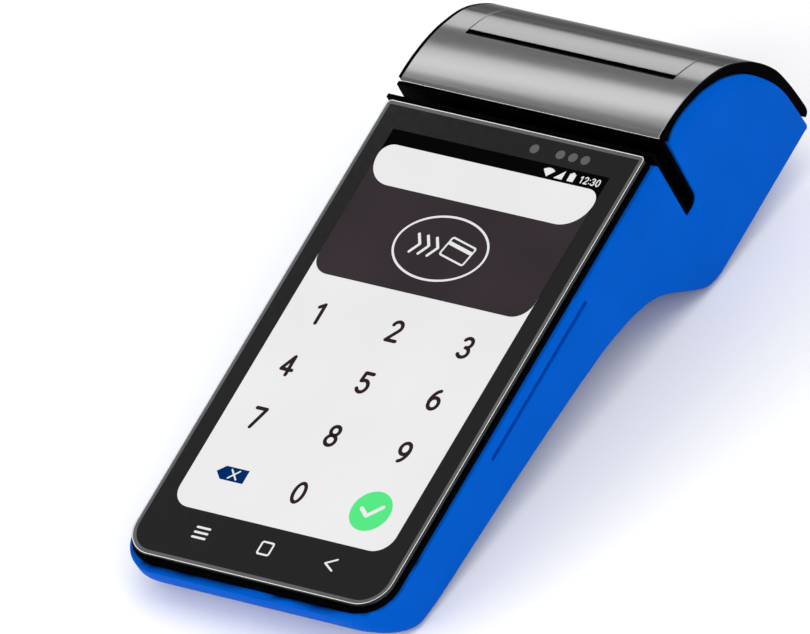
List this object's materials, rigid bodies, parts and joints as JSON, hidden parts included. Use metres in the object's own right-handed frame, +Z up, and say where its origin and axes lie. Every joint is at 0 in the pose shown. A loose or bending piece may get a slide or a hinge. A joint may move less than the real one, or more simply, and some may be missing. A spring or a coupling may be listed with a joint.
{
  "type": "card payment terminal",
  "caption": "Hand-held card payment terminal: large touch screen on a sloping casing, card swipe channel across it and a receipt printer with a hinged paper door in the hump behind.",
  "frame": {"origin": "middle of the footprint, on the surface that the terminal stands on", "axes": "+X to the user's right, +Y towards the printer, +Z up; the terminal rests on its four feet, so the screen leans 13.6 degrees with its printer end raised"},
  "size_m": [0.0807, 0.1846, 0.048],
  "materials": {
    "blue_plastic": "moulded, fine satin grain",
    "blue_keys": "satin",
    "black_plastic": "satin",
    "silver_cover": "satin metallic",
    "cover_glass": "polished, black behind",
    "display": "lit display",
    "grey_plastic": "satin",
    "steel": "bright zinc plate",
    "brass": "satin",
    "circuit_board": "solder mask",
    "white_plastic": "natural acetal",
    "rubber": "matt",
    "receipt_paper": "thermal coated",
    "head_ceramic": "glazed"
  },
  "bodies": {
    "housing": {"rear_casing": "blue_plastic", "battery_cover": "blue_plastic", "front_frame": "black_plastic", "printer_shroud": "black_plastic", "swipe_channel": "black_plastic", "paper_bay": "black_plastic", "loudspeaker": "black_plastic", "paper_sensor": "black_plastic", "printer_cover_skin": "silver_cover", "cover_glass": "cover_glass", "display_panel": "display", "status_light_1": "grey_plastic", "status_light_2": "grey_plastic", "status_light_3": "grey_plastic", "status_light_4": "grey_plastic", "battery_pack": "grey_plastic", "display_back_plate": "steel", "shield_can": "steel", "sim_socket": "steel", "coin_cell": "steel", "usb_c_receptacle": "steel", "head_leaf_spring": "steel", "stepper_motor": "steel", "idler_axle": "steel", "door_hinge_pin": "steel", "printer_chassis": "steel", "print_head_spring": "steel", "tear_bar": "steel", "front_left_case_screw": "steel", "front_right_case_screw": "steel", "rear_left_case_screw": "steel", "rear_right_case_screw": "steel", "left_battery_screw": "steel", "right_battery_screw": "steel", "contactless_antenna": "brass", "main_board": "circuit_board", "front_left_foot": "rubber", "front_right_foot": "rubber", "rear_left_foot": "rubber", "rear_right_foot": "rubber"},
    "door": {"paper_door": "black_plastic", "paper_door_skin": "silver_cover", "left_bearing": "brass", "right_bearing": "brass"},
    "platen": {"platen_roller": "rubber", "platen_shaft": "steel", "platen_gear": "white_plastic"},
    "idler": {"idler_gear": "white_plastic"},
    "pinion": {"motor_pinion": "brass", "motor_shaft": "steel"},
    "roll": {"paper_roll": "receipt_paper", "paper_core": "white_plastic"},
    "power_key": {"power_button": "blue_keys"},
    "volume_key": {"volume_rocker": "blue_keys"},
    "swipe_head": {"magnetic_head": "steel"},
    "thermal_head": {"print_head": "head_ceramic"}
  },
  "joints": [
    {"name": "paper_door_hinge", "type": "hinge", "parent": "housing", "child": "door", "pos_m": [0, 0.0883, 0.0254], "axis": [-1, 0, 0], "range_deg": [0, 80]},
    {"name": "platen_spin", "type": "hinge", "parent": "door", "child": "platen", "pos_m": [0, 0.06916, 0.03816], "axis": [1, 0, 0], "continuous": true},
    {"name": "idler_spin", "type": "hinge", "parent": "housing", "child": "idler", "pos_m": [0, 0.0636, 0.02982], "axis": [1, 0, 0], "continuous": true},
    {"name": "pinion_spin", "type": "hinge", "parent": "housing", "child": "pinion", "pos_m": [0, 0.05568, 0.03105], "axis": [1, 0, 0], "continuous": true},
    {"name": "roll_spin", "type": "hinge", "parent": "housing", "child": "roll", "pos_m": [0, 0.07091, 0.02243], "axis": [1, 0, 0], "continuous": true},
    {"name": "power_button_press", "type": "slide", "parent": "housing", "child": "power_key", "axis": [1, 0, 0], "range_m": [0, 0.0004], "stiffness_N_per_m": 1500},
    {"name": "volume_rocker_tip", "type": "hinge", "parent": "housing", "child": "volume_key", "pos_m": [-0.037, -0.02115, 0.02022], "axis": [0, -0.2352, 0.9719], "range_deg": [-1.5, 1.5], "stiffness_Nm_per_rad": 2},
    {"name": "magnetic_head_press", "type": "slide", "parent": "housing", "child": "swipe_head", "axis": [0, 0.9719, 0.2352], "range_m": [0, 0.0003], "stiffness_N_per_m": 800},
    {"name": "print_head_press", "type": "slide", "parent": "housing", "child": "thermal_head", "axis": [0, -0.9719, -0.2352], "range_m": [0, 0.00025], "stiffness_N_per_m": 4000}
  ],
  "couplings": [
    {"joint": "idler_spin", "follows": "platen_spin", "ratio": -0.81818},
    {"joint": "pinion_spin", "follows": "platen_spin", "ratio": 1.8}
  ]
}
